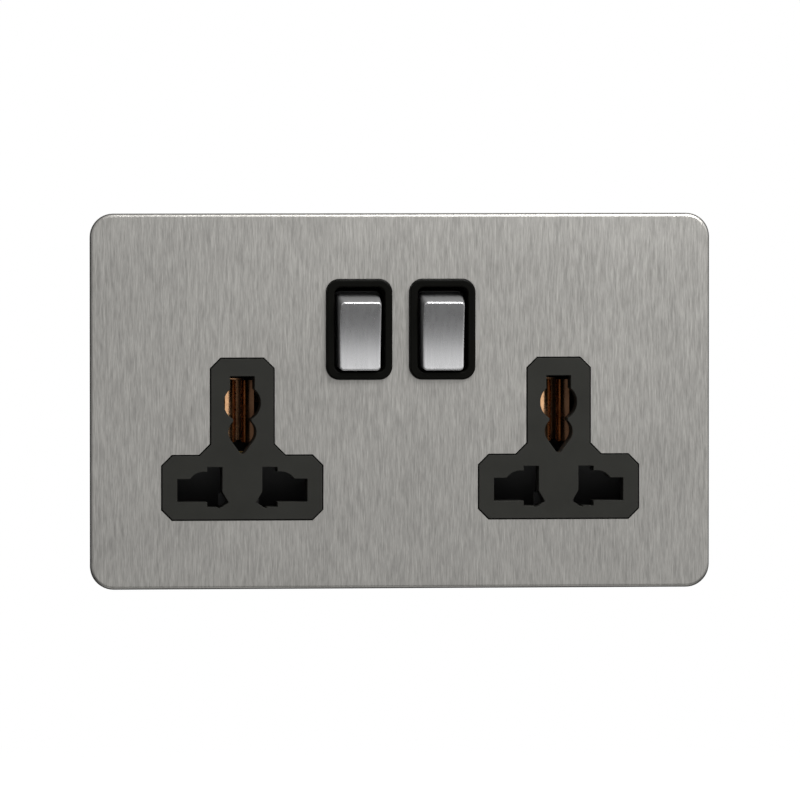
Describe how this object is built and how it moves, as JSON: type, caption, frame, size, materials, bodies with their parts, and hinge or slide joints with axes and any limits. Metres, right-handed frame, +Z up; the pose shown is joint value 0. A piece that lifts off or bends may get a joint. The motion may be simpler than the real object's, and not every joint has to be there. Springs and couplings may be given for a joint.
{
  "type": "twin switched wall socket",
  "caption": "Screwless twin switched wall socket: flat brushed plate, black T-shaped multi-standard inserts, metal rocker switches, shutters, contacts and rear cable terminals.",
  "frame": {"origin": "middle of the wall plane, halfway between the two fixing screws", "axes": "+X to the right seen from the front, +Y into the wall, +Z up; the plate faces -Y"},
  "size_m": [0.146, 0.0348, 0.088],
  "materials": {
    "plate_steel": "fine vertical brushing, satin",
    "rocker_metal": "smooth satin metal",
    "plated_steel": "bright zinc plate",
    "screw_steel": "bright plated",
    "spring_steel": "drawn wire",
    "insert_plastic": "matt dark grey moulding",
    "bezel_plastic": "smooth black moulding",
    "carrier_plastic": "black moulding",
    "cover_plastic": "black moulding",
    "switch_plastic": "black moulding",
    "shutter_plastic": "black moulding",
    "brass": "rolled brass",
    "screw_brass": "turned brass",
    "copper": "copper-rich brass strip"
  },
  "bodies": {
    "socket": {"cover_screw_bottom_left": "screw_steel", "cover_screw_bottom_right": "screw_steel", "cover_screw_top_left": "screw_steel", "cover_screw_top_right": "screw_steel", "earth_bar": "copper", "earth_terminal_left": "brass", "earth_terminal_right": "brass", "fixing_screw_left": "screw_steel", "fixing_screw_right": "screw_steel", "front_moulding": "insert_plastic", "front_plate": "plate_steel", "line_contact_left": "brass", "line_contact_right": "brass", "line_terminal": "brass", "live_bar": "brass", "mounting_yoke": "plated_steel", "neutral_bar": "brass", "neutral_terminal": "brass", "plate_carrier": "carrier_plastic", "plate_earth_clip": "spring_steel", "rear_cover": "cover_plastic", "shutter_spring_left": "spring_steel", "shutter_spring_right": "spring_steel", "switch_bezel_left": "bezel_plastic", "switch_bezel_right": "bezel_plastic"},
    "rocker_left": {"rocker_cap_left": "rocker_metal", "rocker_body_left": "switch_plastic", "plunger_left": "switch_plastic", "plunger_spring_left": "spring_steel"},
    "seesaw_left": {"contact_arm_left": "copper"},
    "shutter_left": {"shutter_left": "shutter_plastic"},
    "rocker_right": {"rocker_cap_right": "rocker_metal", "rocker_body_right": "switch_plastic", "plunger_right": "switch_plastic", "plunger_spring_right": "spring_steel"},
    "seesaw_right": {"contact_arm_right": "copper"},
    "shutter_right": {"shutter_right": "shutter_plastic"},
    "earth_clamp_screw_left": {"earth_clamp_screw_left": "screw_brass"},
    "line_clamp_screw": {"line_clamp_screw": "screw_brass"},
    "neutral_clamp_screw": {"neutral_clamp_screw": "screw_brass"},
    "earth_clamp_screw_right": {"earth_clamp_screw_right": "screw_brass"}
  },
  "joints": [
    {"name": "rocker_left_press", "type": "hinge", "parent": "socket", "child": "rocker_left", "pos_m": [-0.0098, 0.0022, 0.0168], "axis": [-1, 0, 0], "range_deg": [0, 16]},
    {"name": "seesaw_left_tip", "type": "hinge", "parent": "socket", "child": "seesaw_left", "pos_m": [-0.0098, 0.0125, 0.0168], "axis": [1, 0, 0], "range_deg": [0, 10]},
    {"name": "shutter_left_lift", "type": "slide", "parent": "socket", "child": "shutter_left", "axis": [0, 0, 1], "range_m": [0, 0.01], "stiffness_N_per_m": 60, "springref_m": -0.015, "deforming": ["shutter_spring_left"]},
    {"name": "rocker_right_press", "type": "hinge", "parent": "socket", "child": "rocker_right", "pos_m": [0.0098, 0.0022, 0.0168], "axis": [-1, 0, 0], "range_deg": [0, 16]},
    {"name": "seesaw_right_tip", "type": "hinge", "parent": "socket", "child": "seesaw_right", "pos_m": [0.0098, 0.0125, 0.0168], "axis": [1, 0, 0], "range_deg": [0, 10]},
    {"name": "shutter_right_lift", "type": "slide", "parent": "socket", "child": "shutter_right", "axis": [0, 0, 1], "range_m": [0, 0.01], "stiffness_N_per_m": 60, "springref_m": -0.015, "deforming": ["shutter_spring_right"]},
    {"name": "earth_clamp_screw_left_travel", "type": "slide", "parent": "socket", "child": "earth_clamp_screw_left", "axis": [0, -1, 0], "range_m": [0, 0.003]},
    {"name": "line_clamp_screw_travel", "type": "slide", "parent": "socket", "child": "line_clamp_screw", "axis": [0, -1, 0], "range_m": [0, 0.003]},
    {"name": "neutral_clamp_screw_travel", "type": "slide", "parent": "socket", "child": "neutral_clamp_screw", "axis": [0, -1, 0], "range_m": [0, 0.003]},
    {"name": "earth_clamp_screw_right_travel", "type": "slide", "parent": "socket", "child": "earth_clamp_screw_right", "axis": [0, -1, 0], "range_m": [0, 0.003]}
  ],
  "couplings": [
    {"joint": "seesaw_left_tip", "follows": "rocker_left_press", "ratio": 0.625},
    {"joint": "seesaw_right_tip", "follows": "rocker_right_press", "ratio": 0.625}
  ]
}
